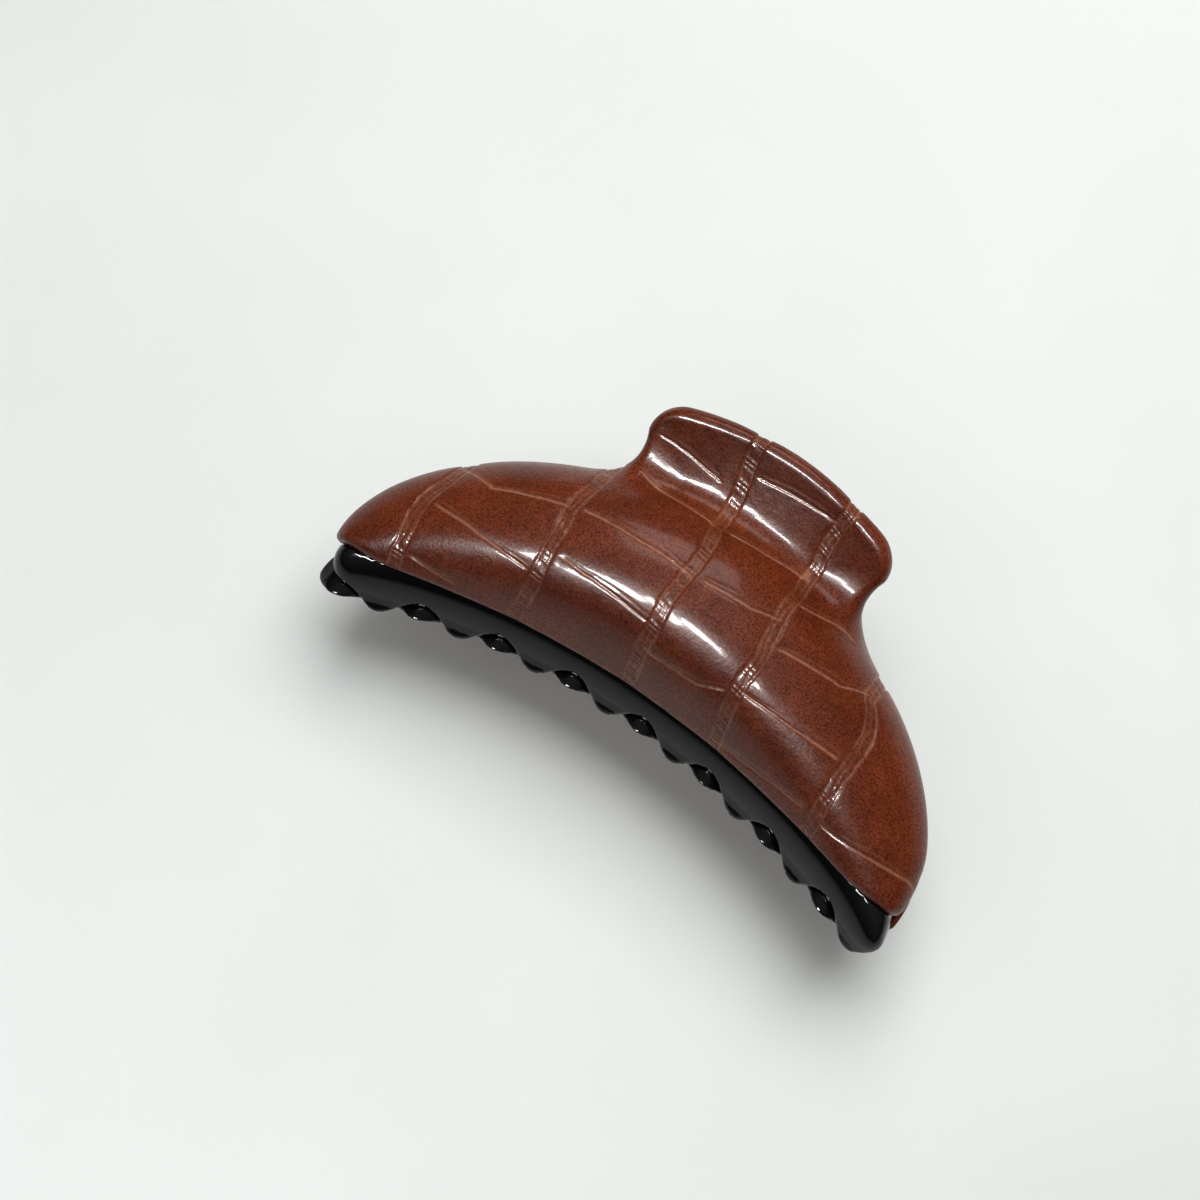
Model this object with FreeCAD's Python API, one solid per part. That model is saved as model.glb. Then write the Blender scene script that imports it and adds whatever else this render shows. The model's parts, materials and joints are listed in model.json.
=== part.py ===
"""Claw hair clip: two identical toothed jaws on one hinge pin, closed by a torsion spring.

Each jaw carries a thin cover plate with an embossed leather skin wrapped over it.
Clip coordinates while building: x along the hinge, h from the teeth to the handles,
d outward from the plane between the jaws.  The finished part lies on its side:
X = x, Y = h, Z = d, with the origin under the middle of its bounding box.
"""
import FreeCAD, Part
import math
import os

V = FreeCAD.Vector

# ---- outline of one jaw (mm) ----
HALF_LENGTH = 55.0        # half of the clip's length
EDGE_SAG = 12.15          # how far the toothed edge droops from the middle to the ends
EDGE_LOW = 1.4            # the wall runs on this far below h = 0 in the middle
TOP_H = 33.8              # top of the domed body above the toothed edge, in the middle
BULGE = 22.6              # outward depth of the body from the meeting plane, in the middle
END_DEPTH = 2.6           # the same depth where the outline would close
TOP_POWER = 2.447         # bluntness of the top outline
DEPTH_POWER = 1.611       # bluntness of the depth outline
TAPER_POWER = 1.557       # how fast both fall off along the length
TAPER_SOFT = 0.15         # rounds the taper's peak in the middle
EDGE_ANGLE = 66.4         # slope of the wall at the teeth, from the h direction
MID_RATIO = 0.44          # height of the widest point, as a share of the section
LOW_PULL, LOW_HOLD = 0.494, 0.623     # handles of the section's lower curve
HIGH_PULL, HIGH_HOLD = 0.566, 0.578   # handles of the section's upper curve
SECTION_STEPS = 60        # points along each half of a section
TOOTH_REACH = 6.0         # the section runs on this far past the meeting plane
CREST_D = 4.0             # where the section's upper curve would end
RIM_D = 4.0               # inner edge of the body beyond the handle
RIM_D_HANDLE = 10.6       # inner edge of the body behind the handle
RIM_STEP = (15.0, 23.0)   # where the edge changes from one to the other
TIP_CENTRE, TIP_R = (49.1, -7.8), 4.3          # rounded finger at the +x end, in x and h
RETREAT_CENTRE, RETREAT_R = (-38.6, 2.2), 16.2   # wide rounding that bares the mate's finger at -x

# ---- layers, measured inward from the leather's outer face ----
SKIN = 0.9
GLUE_GAP = 0.05
PLATE = 0.95
WALL = 2.2
BAND_RECESS = 0.5         # the bare toothed band lies this far under the leather
BAND_MID, BAND_END = 7.75, 10.1       # width of the bare band round the section
END_THICK = 1.8           # wall thickness at the teeth of the solid ends
END_NUB = 0.9             # thickness of the leather's blunt ends
SOLID_END = (38.0, 48.0)  # the hollow closes between these distances
SKIN_SOLID_END = (48.8, 51.0)
PLATE_END = 47.0
WALL_RETREAT = (46.6, 48.6)           # the covered wall stops here, the band goes on
BAND_STOP = 54.4
SKIN_STOP = 54.8
TRIM_DEPTH = 4.6          # everything under the leather is cleared to this depth

# ---- teeth ----
TOOTH_PITCH = 12.92
TOOTH_COUNT = 8
TOOTH_DEPTH = 1.8         # half of the height from notch to tip
TOOTH_GAP = 0.35          # half of the gap between the two interlocking edges

# ---- handle ----
HANDLE_H, HANDLE_D = 29.6, 13.05      # where the outer face starts, under the body
HANDLE_TIP_H = 41.8
HANDLE_BOW = 4.4          # the top edge is this much lower at its corners
HANDLE_HALF_NECK, HANDLE_HALF_TIP = 19.7, 22.0
HANDLE_SHIFT = 0.6        # the handle's middle lies this far to +x
HANDLE_CROWN = 2.15       # outward crown across 20 mm
HANDLE_THICK = 3.4
HANDLE_CORNER = 4.2
HANDLE_FOOT = -0.10       # where the core's foot ends inside the wall, as a share of the height
SLOT_FOOT = -0.34         # the same for the slot that the core passes through
WRAP_FOOT = -0.08         # the same for the leather round the handle
FLARE_END = 0.66          # share of the height where the full width is reached

# ---- hinge and spring ----
PIN_H = 25.5
PIN_R = 1.0
BORE_R = 1.05
LUG_R = 3.1
LUG_T = 2.4
LUG_OUTER, LUG_INNER = 10.2, 7.4      # near faces of one jaw's two lugs
LUG_WEB = [(22.4, 0.0), (20.5, 8.0), (17.0, 18.8), (22.5, 17.3), (27.6, 12.2),
           (28.2, 9.4), (28.6, 1.2), (28.6, 0.0)]   # h and d round one lug's web
PIN_HALF = 13.0
HEAD_R, HEAD_T = 1.9, 0.8
HEAD_ROUND = 0.35
PIN_TAIL = 1.0            # length of the pin inside its cap
CAP_R, CAP_T = 1.9, 1.3
CAP_GAP = 0.1             # between the cap and the end of the shank
WIRE_R = 0.6
COIL_R = 2.55
COIL_HALF = 6.2
COIL_TURNS = 8.5
LEG_TIP_H, LEG_TIP_D = 37.0, 12.6

MID_Z = BULGE             # height of the meeting plane above the surface it lies on
Y_SHIFT = -16.4           # brings the bounding box's middle to Y = 0


def smoothstep(a, b, x):
    """0 below a, 1 above b, smooth between."""
    t = min(1.0, max(0.0, (x - a) / (b - a)))
    return t * t * (3.0 - 2.0 * t)


def taper(x):
    """1 in the middle of the clip, falling to 0 at its ends."""
    u2 = (x / HALF_LENGTH) ** 2
    e2 = TAPER_SOFT ** 2
    k = TAPER_POWER / 2.0
    rise = (u2 + e2) ** k - e2 ** k
    full = (1.0 + e2) ** k - e2 ** k
    return max(1e-4, 1.0 - rise / full)


def bezier(p, t):
    s = 1.0 - t
    return s ** 3 * p[0] + 3 * s * s * t * p[1] + 3 * s * t * t * p[2] + t ** 3 * p[3]


def bezier_slope(p, t):
    s = 1.0 - t
    return s * s * (p[1] - p[0]) + 2 * s * t * (p[2] - p[1]) + t * t * (p[3] - p[2])


def section(x):
    """Outer curve of the body at x, from below the teeth to the crest.

    Each point is (s, h, d, tangent h, tangent d), where s is the length round the curve,
    0 where it crosses the meeting plane.
    """
    u = abs(x) / HALF_LENGTH
    base = -EDGE_SAG * u * u
    low = base - EDGE_LOW
    k = taper(x)
    top = max(base + 2.0, -EDGE_SAG + (TOP_H + EDGE_SAG) * k ** (1.0 / TOP_POWER))
    deep = (BULGE - END_DEPTH) * k ** (1.0 / DEPTH_POWER) + END_DEPTH
    mid = base + (top - base) * MID_RATIO
    cosb = math.cos(math.radians(EDGE_ANGLE))
    sinb = math.sin(math.radians(EDGE_ANGLE))
    pull = min(LOW_PULL * deep / sinb, 0.9 * (mid - low) / cosb)
    crest = min(CREST_D, 0.5 * deep)
    lower_h = (low, low + pull * cosb, mid - LOW_HOLD * (mid - low), mid)
    lower_d = (0.0, pull * sinb, deep, deep)
    upper_h = (mid, mid + HIGH_PULL * (top - mid), top, top)
    upper_d = (deep, deep, crest + HIGH_HOLD * (deep - crest), crest)
    pts = [(low - TOOTH_REACH * cosb, -TOOTH_REACH * sinb, cosb, sinb)]
    for curve_h, curve_d in ((lower_h, lower_d), (upper_h, upper_d)):
        for i in range(SECTION_STEPS + 1):
            t = i / SECTION_STEPS
            th, td = bezier_slope(curve_h, t), bezier_slope(curve_d, t)
            size = math.hypot(th, td)
            pts.append((bezier(curve_h, t), bezier(curve_d, t), th / size, td / size))
    s = -TOOTH_REACH
    out = [(s,) + pts[0]]
    for a, b in zip(pts, pts[1:]):
        gap = math.hypot(b[0] - a[0], b[1] - a[1])
        if gap > 1e-6:
            s += gap
            out.append((s,) + b)
    return out


def at(curve, s):
    """Point of a section curve at length s, and the inward normal there."""
    for a, b in zip(curve, curve[1:]):
        if s <= b[0]:
            break
    f = (s - a[0]) / (b[0] - a[0])
    h, d, th, td = [a[i] + f * (b[i] - a[i]) for i in (1, 2, 3, 4)]
    size = math.hypot(th, td)
    return h, d, td / size, -th / size


def tooth_edge(x):
    """d of the upper jaw's toothed edge at x."""
    first = -(TOOTH_COUNT - 1) / 2.0 * TOOTH_PITCH + TOOTH_PITCH / 4.0
    last = first + (TOOTH_COUNT - 1) * TOOTH_PITCH
    wave = -math.cos(2.0 * math.pi * (x - first) / TOOTH_PITCH)
    if x < first - TOOTH_PITCH / 2.0:
        wave = 1.0
    if x > last + TOOTH_PITCH / 2.0:
        wave = 1.0
    return TOOTH_GAP + TOOTH_DEPTH * wave


def rim_length(curve, x):
    """Length round the section where its upper part reaches the body's inner edge."""
    want = RIM_D_HANDLE + (RIM_D - RIM_D_HANDLE) * smoothstep(RIM_STEP[0], RIM_STEP[1], abs(x))
    for a, b in zip(curve[SECTION_STEPS:], curve[SECTION_STEPS + 1:]):
        if b[2] <= want:
            return b[0]
    return curve[-1][0]


def band_length(curve, x):
    """Length round the section where the leather begins."""
    u2 = (x / HALF_LENGTH) ** 2
    want = BAND_MID * (1.0 - u2) + BAND_END * u2
    return min(want, 0.45 * curve[-1][0])


def spread(a, b, n):
    return [a + (b - a) * i / (n - 1) for i in range(n)]


def row_at(x, curve, lengths, depths):
    """Points at x, at the given lengths round the curve and depths under it."""
    row = []
    for s, depth in zip(lengths, depths):
        h, d, nh, nd = at(curve, s)
        row.append(V(x, h + nh * depth, d + nd * depth))
    return row


def towards_chord(row, a, b, share):
    """The row moved towards the straight line from a to b, which closes the hollow."""
    last = len(row) - 1
    moved = []
    for i, p in enumerate(row):
        target = a + (b - a) * (i / last)
        moved.append(p + (target - p) * share)
    return moved


def strip_solid(rows):
    """Solid between two smooth sheets through the outer and inner rows."""
    sheets = []
    for side in (0, 1):
        sheet = Part.BSplineSurface()
        sheet.interpolate([pair[side] for pair in rows])
        sheets.append(sheet)
    edges = []
    for sheet in sheets:
        edges.append([sheet.uIso(0).toShape(), sheet.uIso(1).toShape(),
                      sheet.vIso(0).toShape(), sheet.vIso(1).toShape()])
    faces = [sheet.toShape() for sheet in sheets]
    for i in (2, 3):
        faces.append(Part.makeRuledSurface(edges[0][i], edges[1][i]))
    for i in (0, 1):
        near, far = edges[0][i], edges[1][i]
        ends = [Part.makeLine(near.valueAt(getattr(near, p)), far.valueAt(getattr(far, p)))
                for p in ("FirstParameter", "LastParameter")]
        faces.append(Part.Face(Part.Wire(Part.__sortEdges__([near, far] + ends))))
    shell = Part.makeShell(faces)
    shell.sewShape()
    solid = Part.Solid(Part.Shell(shell.Faces))
    if solid.Volume < 0:
        solid.reverse()
    return solid


def stations(limit, step):
    """Values of x from -limit to limit, closer together in the last 6 mm."""
    inner = limit - 6.0
    n = int(round(2.0 * inner / step))
    middle = [-inner + 2.0 * inner * i / n for i in range(n + 1)]
    ends = [inner + 6.0 * (1.0 - (1.0 - i / 7.0) ** 1.7) for i in range(1, 8)]
    return [-e for e in reversed(ends)] + middle + ends


def edge_start(x, depth):
    """Length round the curve where a point at this depth reaches the toothed edge."""
    angle = math.radians(EDGE_ANGLE)
    return (tooth_edge(x) + depth * math.cos(angle)) / math.sin(angle)


def jaw_wall():
    """The moulded wall: the bare toothed band, sinking smoothly under the covered wall."""
    covered = SKIN + PLATE + 2.0 * GLUE_GAP
    rows = []
    count = 20
    for x in stations(BAND_STOP, TOOTH_PITCH / 8.0):
        curve = section(x)
        start = edge_start(x, BAND_RECESS)
        step = max(start + 1.5, band_length(curve, x))
        retreat = smoothstep(WALL_RETREAT[0], WALL_RETREAT[1], abs(x))
        end = rim_length(curve, x)
        end = end + (step - 0.2 - end) * retreat
        lengths = spread(start, end, count)
        depths = []
        for s in lengths:
            sink = smoothstep(0.0, step, s) * (1.0 - retreat)
            depths.append(BAND_RECESS + (covered - BAND_RECESS) * sink)
        outer = row_at(x, curve, lengths, depths)
        solid = smoothstep(SOLID_END[0], SOLID_END[1], abs(x))
        deep = covered + WALL
        inner = row_at(x, curve, spread(edge_start(x, deep), end, count), [deep] * count)
        foot = row_at(x, curve, [edge_start(x, END_THICK)], [END_THICK])[0]
        head = row_at(x, curve, [end], [depths[-1] + 1.0])[0]
        rows.append((outer, towards_chord(inner, foot, head, solid)))
    return strip_solid(rows)


def layer(limit, outer, inner, end_gap, solid_from=None):
    """A thin layer over the covered part of the body, between two depths."""
    rows = []
    count = 20
    for x in stations(limit, 4.0):
        curve = section(x)
        lengths = spread(band_length(curve, x) + end_gap, rim_length(curve, x) - end_gap, count)
        top = row_at(x, curve, lengths, [outer] * count)
        under = row_at(x, curve, lengths, [inner] * count)
        if solid_from:
            solid = smoothstep(solid_from[0], solid_from[1], abs(x))
            last = count - 1
            sink = V(0, 0, -END_NUB)
            a = top[0] + (top[last] - top[0]) * 0.12 + sink
            b = top[0] + (top[last] - top[0]) * 0.88 + sink
            under = towards_chord(under, a, b, solid)
        rows.append((top, under))
    return strip_solid(rows)


def handle_point(x, w):
    """Outer face of the handle at x, w from 0 at its foot to 1 at its top edge."""
    tip = HANDLE_TIP_H - HANDLE_BOW * (x / HANDLE_HALF_TIP) ** 2
    h = HANDLE_H + (tip - HANDLE_H) * w
    reach = BULGE - HANDLE_D
    d = HANDLE_D + reach * (0.75 * w + 0.25 * w * abs(w)) - HANDLE_CROWN * (x / 20.0) ** 2
    return h, d


def handle_slab(inset, foot):
    """The handle plate, drawn in by inset on every side, its foot sunk into the wall."""
    half = HANDLE_HALF_TIP - inset
    neck = HANDLE_HALF_NECK - inset
    corner = HANDLE_CORNER
    rows = []
    steps = 9
    xs = [neck * 0.97 * i / steps for i in range(-steps, steps + 1)]
    outer = [neck + (half - neck) * f for f in (0.1, 0.35, 0.6, 0.8, 0.92, 0.985)]
    xs = [-x for x in reversed(outer)] + xs + outer
    for x in xs:
        ax = abs(x)
        rise = HANDLE_TIP_H - HANDLE_BOW * (x / HANDLE_HALF_TIP) ** 2 - HANDLE_H
        low = foot - 0.12 * (min(ax, neck) / 20.0) ** 2
        if ax > neck:
            low = low + (FLARE_END - low) * ((ax - neck) / (half - neck)) ** 0.6
        over = max(0.0, ax - (half - corner))
        drop = inset + corner - math.sqrt(max(0.0, corner ** 2 - over ** 2))
        high = 1.0 - drop / rise
        side = max(0.0, ax - (half - 1.7)) / 1.75
        thick = (HANDLE_THICK - 2.0 * inset) * math.sqrt(max(0.02, 1.0 - side ** 2))
        skip = (HANDLE_THICK - thick) / 2.0
        front, back = [], []
        n = 11
        for i in range(n):
            w = low + (high - low) * i / (n - 1)
            h, d = handle_point(x, w)
            h2, d2 = handle_point(x, w + 0.01)
            ln = math.hypot(h2 - h, d2 - d)
            nh, nd = (d2 - d) / ln, -(h2 - h) / ln
            front.append((h + nh * skip, d + nd * skip))
            back.append((h + nh * (skip + thick), d + nd * (skip + thick)))
        at_x = x + HANDLE_SHIFT
        rows.append(([V(at_x, h, d) for h, d in front], [V(at_x, h, d) for h, d in back]))
    return strip_solid(rows)


def end_trim(inset):
    """The space outside the rounded ends, as seen along d, drawn in by inset."""
    far = 80.0
    low = -10.0
    tools = []
    for (cx, ch), r, side in ((TIP_CENTRE, TIP_R - inset, 1.0), (RETREAT_CENTRE, RETREAT_R - inset, -1.0)):
        wall = V(cx + side * r, ch, low)
        foot = V(cx, ch - r, low)
        between = V(cx + side * r * math.cos(math.pi / 4), ch - r * math.sin(math.pi / 4), low)
        head = V(wall.x, max(ch, 10.0 * side), low)
        ring = [head, V(side * far, head.y, low), V(side * far, -far, low), V(cx, -far, low), foot]
        edges = [Part.makeLine(a, b) for a, b in zip(ring, ring[1:])]
        edges.append(Part.Arc(foot, between, wall).toShape())
        if head.y > wall.y:
            edges.append(Part.makeLine(wall, head))
        tools.append(Part.Face(Part.Wire(edges)).extrude(V(0, 0, far)))
    return tools


def lug(x0):
    """One hinge lug: a disc on the pin's axis with a web to the jaw's wall."""
    disc = Part.makeCylinder(LUG_R, LUG_T, V(x0, PIN_H, 0), V(1, 0, 0))
    wire = Part.makePolygon([V(x0, h, d) for h, d in LUG_WEB + LUG_WEB[:1]])
    web = Part.Face(wire).extrude(V(LUG_T, 0, 0))
    return disc.fuse(web)


def bore():
    """Clearance for the pin."""
    return Part.makeCylinder(BORE_R, 4 * PIN_HALF, V(-2 * PIN_HALF, PIN_H, 0), V(1, 0, 0))


def jaw():
    """One moulding: toothed wall, handle core and two hinge lugs."""
    body = largest(jaw_wall().cut(end_trim(BAND_RECESS)))
    body = body.fuse(handle_slab(SKIN + GLUE_GAP, HANDLE_FOOT))
    for x0 in (LUG_INNER, -LUG_OUTER - LUG_T):
        body = body.fuse(lug(x0))
    return largest(body.cut(bore()))


def cover_plate():
    """The thin plate the leather is wrapped over, with a slot for the handle core."""
    plate = layer(PLATE_END, SKIN + GLUE_GAP, SKIN + GLUE_GAP + PLATE, 0.35)
    return largest(plate.cut(handle_slab(SKIN, SLOT_FOOT)))


def leather_skin():
    """Leather over the body, turned round the handle on both sides."""
    inside = handle_slab(SKIN, SLOT_FOOT)
    under = layer(HANDLE_HALF_TIP + 5.0, 0.6 * SKIN, TRIM_DEPTH, -0.3)
    wrap = largest(handle_slab(0.0, WRAP_FOOT).cut(under)).cut(inside)
    body = layer(SKIN_STOP, 0.0, SKIN, 0.0, SKIN_SOLID_END)
    body = largest(body.cut(end_trim(0.0))).cut(inside)
    return largest(largest(body).fuse(largest(wrap)))


def largest(shape):
    """The biggest solid of a boolean result."""
    return max(shape.Solids, key=lambda s: s.Volume)


def hinge_pin():
    shaft = Part.makeCylinder(PIN_R, 2 * PIN_HALF + PIN_TAIL, V(-PIN_HALF, PIN_H, 0), V(1, 0, 0))
    head = Part.makeCylinder(HEAD_R, HEAD_T, V(-PIN_HALF - HEAD_T, PIN_H, 0), V(1, 0, 0))
    head = head.makeFillet(HEAD_ROUND, [head.Edges[0], head.Edges[2]])
    return shaft.fuse(head).removeSplitter()


def pin_cap():
    """Push-on cap that keeps the pin in its lugs."""
    cap = Part.makeCylinder(CAP_R, CAP_T, V(PIN_HALF + CAP_GAP, PIN_H, 0), V(1, 0, 0))
    socket = Part.makeCylinder(PIN_R, PIN_TAIL + 0.01, V(PIN_HALF, PIN_H, 0), V(1, 0, 0))
    return cap.cut(socket)


def torsion_spring():
    """Coil round the pin between the inner lugs, with a leg to each handle."""
    pitch = 2 * COIL_HALF / COIL_TURNS
    helix = Part.makeHelix(pitch, 2 * COIL_HALF, COIL_R)
    helix.Placement = FreeCAD.Placement(V(-COIL_HALF, PIN_H, 0),
                                        FreeCAD.Rotation(V(0, 0, 1), V(1, 0, 0)))
    first = helix.Edges[0].valueAt(helix.Edges[0].FirstParameter)
    last_edge = helix.Edges[-1]
    last = last_edge.valueAt(last_edge.LastParameter)
    heading = helix.Edges[0].tangentAt(helix.Edges[0].FirstParameter)
    ring = Part.Wire([Part.makeCircle(WIRE_R, first, heading)])
    coil = Part.Wire(helix.Edges).makePipeShell([ring], True, True)
    legs = []
    for start, side in ((first, -1.0), (last, 1.0)):
        tip = V(start.x, LEG_TIP_H, side * LEG_TIP_D)
        run = tip.sub(start)
        legs.append(Part.makeCylinder(WIRE_R, run.Length, start, run))
        legs.append(Part.makeSphere(WIRE_R, start))
        legs.append(Part.makeSphere(WIRE_R, tip))
    return coil, legs


def turned(shape):
    """The same piece on the other jaw: half a turn about the h axis."""
    copy = shape.copy()
    copy.rotate(V(0, 0, 0), V(0, 1, 0), 180.0)
    return copy


def write(name, shape):
    shape = shape.copy()
    shape.translate(V(0, Y_SHIFT, MID_Z))
    shape.exportStep("parts/" + name + ".step")
    box = shape.BoundBox
    print("%-22s valid %s solids %d vol %.0f  X %.2f..%.2f Y %.2f..%.2f Z %.2f..%.2f" % (
        name, shape.isValid(), len(shape.Solids), shape.Volume, box.XMin, box.XMax,
        box.YMin, box.YMax, box.ZMin, box.ZMax))


def main():
    os.makedirs("parts", exist_ok=True)
    moulding = jaw()
    write("upper_jaw", moulding)
    write("lower_jaw", turned(moulding))
    plate = cover_plate()
    write("upper_cover_plate", plate)
    write("lower_cover_plate", turned(plate))
    skin = leather_skin()
    write("upper_leather_skin", skin)
    write("lower_leather_skin", turned(skin))
    write("hinge_pin", hinge_pin())
    write("pin_cap", pin_cap())
    coil, legs = torsion_spring()
    write("torsion_spring", coil.fuse(legs).removeSplitter())


main()
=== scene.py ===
"""Looks of the claw hair clip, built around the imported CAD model.

The jaws and their leather skins are built as smooth volumes in clip coordinates
(millimetres: x along the hinge, h from the teeth to the handles, d outward from the
plane between the jaws), meshed, and laid in the CAD frame.  The lower jaw's pieces
are the upper one's turned half round the h axis, as on the real clip.
"""
import json
import math

import bmesh
import bpy
import numpy as np
from mathutils import Matrix, Vector


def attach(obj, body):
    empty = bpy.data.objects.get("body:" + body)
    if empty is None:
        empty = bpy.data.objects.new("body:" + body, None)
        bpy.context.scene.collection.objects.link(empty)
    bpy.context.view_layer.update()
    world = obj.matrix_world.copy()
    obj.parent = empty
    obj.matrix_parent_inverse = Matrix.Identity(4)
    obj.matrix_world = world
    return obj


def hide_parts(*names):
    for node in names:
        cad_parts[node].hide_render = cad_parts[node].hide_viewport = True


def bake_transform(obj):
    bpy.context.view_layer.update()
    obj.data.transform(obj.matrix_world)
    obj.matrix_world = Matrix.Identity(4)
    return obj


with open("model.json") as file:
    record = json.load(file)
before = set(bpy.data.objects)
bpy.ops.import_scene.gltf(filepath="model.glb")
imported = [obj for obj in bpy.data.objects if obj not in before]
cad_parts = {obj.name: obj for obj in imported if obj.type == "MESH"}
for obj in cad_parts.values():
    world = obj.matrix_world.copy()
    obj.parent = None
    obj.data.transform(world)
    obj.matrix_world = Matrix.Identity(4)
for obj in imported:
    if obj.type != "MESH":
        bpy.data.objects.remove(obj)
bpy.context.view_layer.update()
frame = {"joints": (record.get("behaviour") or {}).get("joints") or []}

MM = 0.001                      # metres in a millimetre
PIN = Vector(frame["joints"][0]["pos_m"]) / MM
PIN_H = 25.5                    # the pin's axis is this far above the teeth
Y_SHIFT = PIN.y - PIN_H
MID_Z = PIN.z
FRAME_SHIFT = np.array([0.0, Y_SHIFT, MID_Z])   # from clip coordinates to the CAD frame

# ---- outline of one jaw, as in the CAD model (mm) ----
HALF_LENGTH = 55.0              # of the curved outline, before its ends are rounded
EDGE_SAG = 12.15                # how far the toothed edge droops from the middle to the ends
EDGE_LOW = 1.4                  # the wall runs on this far below h = 0 in the middle
TOP_H = 33.8                    # the crest's height in the middle
BULGE = 22.6                    # depth of the half in the middle
END_DEPTH = 2.6                 # and at its ends
END_HEIGHT = 2.0                # least height of a section above the sagging edge
# powers that shape the crest, the depth and their common taper to the ends
TOP_POWER, DEPTH_POWER, TAPER_POWER, TAPER_SOFT = 2.447, 1.611, 1.557, 0.15
EDGE_ANGLE = math.radians(66.4)     # lean of the wall at the teeth
MID_RATIO = 0.44                # height of the deepest point, as a share of the section's
LOW_PULL, LOW_HOLD = 0.494, 0.623   # handles of the section's lower curve
HIGH_PULL, HIGH_HOLD = 0.566, 0.578     # and of its upper one
CREST_D = 4.0                   # d of the crest
RUN_ON = 8.0                    # a section runs straight on this far past both ends
RIM_D, RIM_D_HANDLE = 4.0, 10.6     # d of the back rim at the ends, and under the handle
RIM_STEP = (15.0, 23.0)         # |x| over which it changes
# the ends as seen along d: a finger at +x and a large round at -x, centres in x and h
TIP_CENTRE, TIP_R = (49.1, -7.8), 4.3
RETREAT_CENTRE, RETREAT_R = (-38.6, 2.2), 16.2
END_BLEND = 2.4

# ---- layers (mm) ----
SKIN = 0.9
PLATE = 0.95
GAP = 0.05
COVERED = SKIN + PLATE + 2 * GAP    # depth of the moulding under the leather
WALL, WALL_EDGE = 2.2, 0.6      # the moulding's wall and the rounding of its inner edges
RIM_EDGE, SKIN_RIM_EDGE = 0.8, 0.7  # rounding of the back rim, of moulding and leather
CORE_EDGE, CORE_FILLET = 0.5, 0.8   # the moulding's core in the handle, and where it meets the wall
BAND_MID, BAND_END = 7.75, 10.1     # width of the bare band in the middle and at the ends
BAND_MOST = 0.45                # and at most this share of the section's length
BAND_TOP_RECESS = 1.3           # the bare band falls away by this much up to the leather
BAND_FLARE = 0.1                # slope at which the teeth lean out
BAND_FLAT_S = 1.5               # the band turns from flaring to falling away here
BAND_STEP = (-0.3, 0.35)        # the moulding steps down under the leather's edge
LEATHER_CORNER, LEATHER_CORNER_R = (50.2, -1.4), 3.4    # its rounded end corner, x and h
LIP = (0.75, 1.15)              # the turned edge thins to the plain layer over this inset

# ---- teeth (mm) ----
TOOTH_PITCH = 12.92
TOOTH_COUNT = 8
TOOTH_DEPTH = 1.8               # half of a tooth's height
TOOTH_GAP = 0.35                # d of the teeth's middle line
TOOTH_ROOT = 5.6                # the teeth are no thicker than this along h
TOOTH_BACK_D = 0.2              # where that thickness is held
TOOTH_SLOPE, TOOTH_EDGE = 0.85, 0.7     # scale of the teeth's wave as a distance, and rounding

# ---- handle (mm) ----
HANDLE_H, HANDLE_D = 29.6, 13.05    # where its front face leaves the body
HANDLE_TIP_H = 41.8
HANDLE_BOW = 4.4                # droop of the top edge at its corners
HANDLE_HALF_NECK, HANDLE_HALF_TIP = 19.7, 22.0
HANDLE_SHIFT = 0.6              # its middle is this far towards +x
HANDLE_CROWN, CROWN_X = 2.15, 20.0  # the front face falls back by the crown at CROWN_X
HANDLE_CURL = 0.25              # share of the face's lean that comes from its curl
HANDLE_THICK = 3.4
HANDLE_CORNER = 4.2             # radius of its corners
HANDLE_EDGE = 1.45              # and of its edges
HANDLE_FOOT_H = 25.6            # the plate ends inside the body here
FLARE_END, FLARE_POWER = 0.66, 1.3  # share of the height over which the sides flare
CREASE_BLEND, SIDE_BLEND = 4.0, 9.0     # fillet to the body, in the middle and at the sides
SIDE_BLEND_X = (12.0, 21.0)

# ---- hinge (mm) ----
BORE_R, BORE_EDGE = 1.05, 0.2
LUG_R, LUG_T = 3.1, 2.4
LUG_OUTER, LUG_INNER = 10.2, 7.4    # |x| of the inner faces of a half's two lugs
LUG_EDGE, LUG_FILLET, WEB_FILLET = 0.5, 1.0, 0.6
LUG_DEPTH = 0.6                 # the lugs stay this far inside the moulding's outer face
# outline of a lug's web, h and d
LUG_WEB = [(22.4, 0.0), (20.5, 8.0), (17.0, 18.8), (22.5, 17.3), (27.6, 12.2),
           (28.2, 9.4), (28.6, 1.2), (28.6, 0.0)]

# ---- tables of the sections ----
TABLE_STEP = 0.25
ANGLE_STEPS = 720
POLE_R = (2.5, 5.0)             # nearer a section's polar centre, slopes aren't trusted


def smoothstep(a, b, x):
    """0 below a, 1 above b, smooth between."""
    t = np.clip((x - a) / (b - a), 0.0, 1.0)
    return t * t * (3.0 - 2.0 * t)


def smooth_min(a, b, k):
    """Union of two fields with a fillet about k wide."""
    m = np.maximum(k - np.abs(a - b), 0.0)
    return np.minimum(a, b) - m * m / (4.0 * k)


def smooth_max(a, b, k):
    """Common part of two fields with its edge rounded, about k wide."""
    return -smooth_min(-a, -b, k)


# ---------------------------------------------------------------- section of the body

def taper(x):
    """1 in the middle, falling smoothly to 0 at the ends."""
    e2 = TAPER_SOFT ** 2
    k = TAPER_POWER / 2.0
    rise = ((x / HALF_LENGTH) ** 2 + e2) ** k - e2 ** k
    return max(1e-4, 1.0 - rise / ((1.0 + e2) ** k - e2 ** k))


def bezier(p, t):
    """Cubic through the first and last of four numbers."""
    s = 1.0 - t
    return s ** 3 * p[0] + 3 * s * s * t * p[1] + 3 * s * t * t * p[2] + t ** 3 * p[3]


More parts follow.
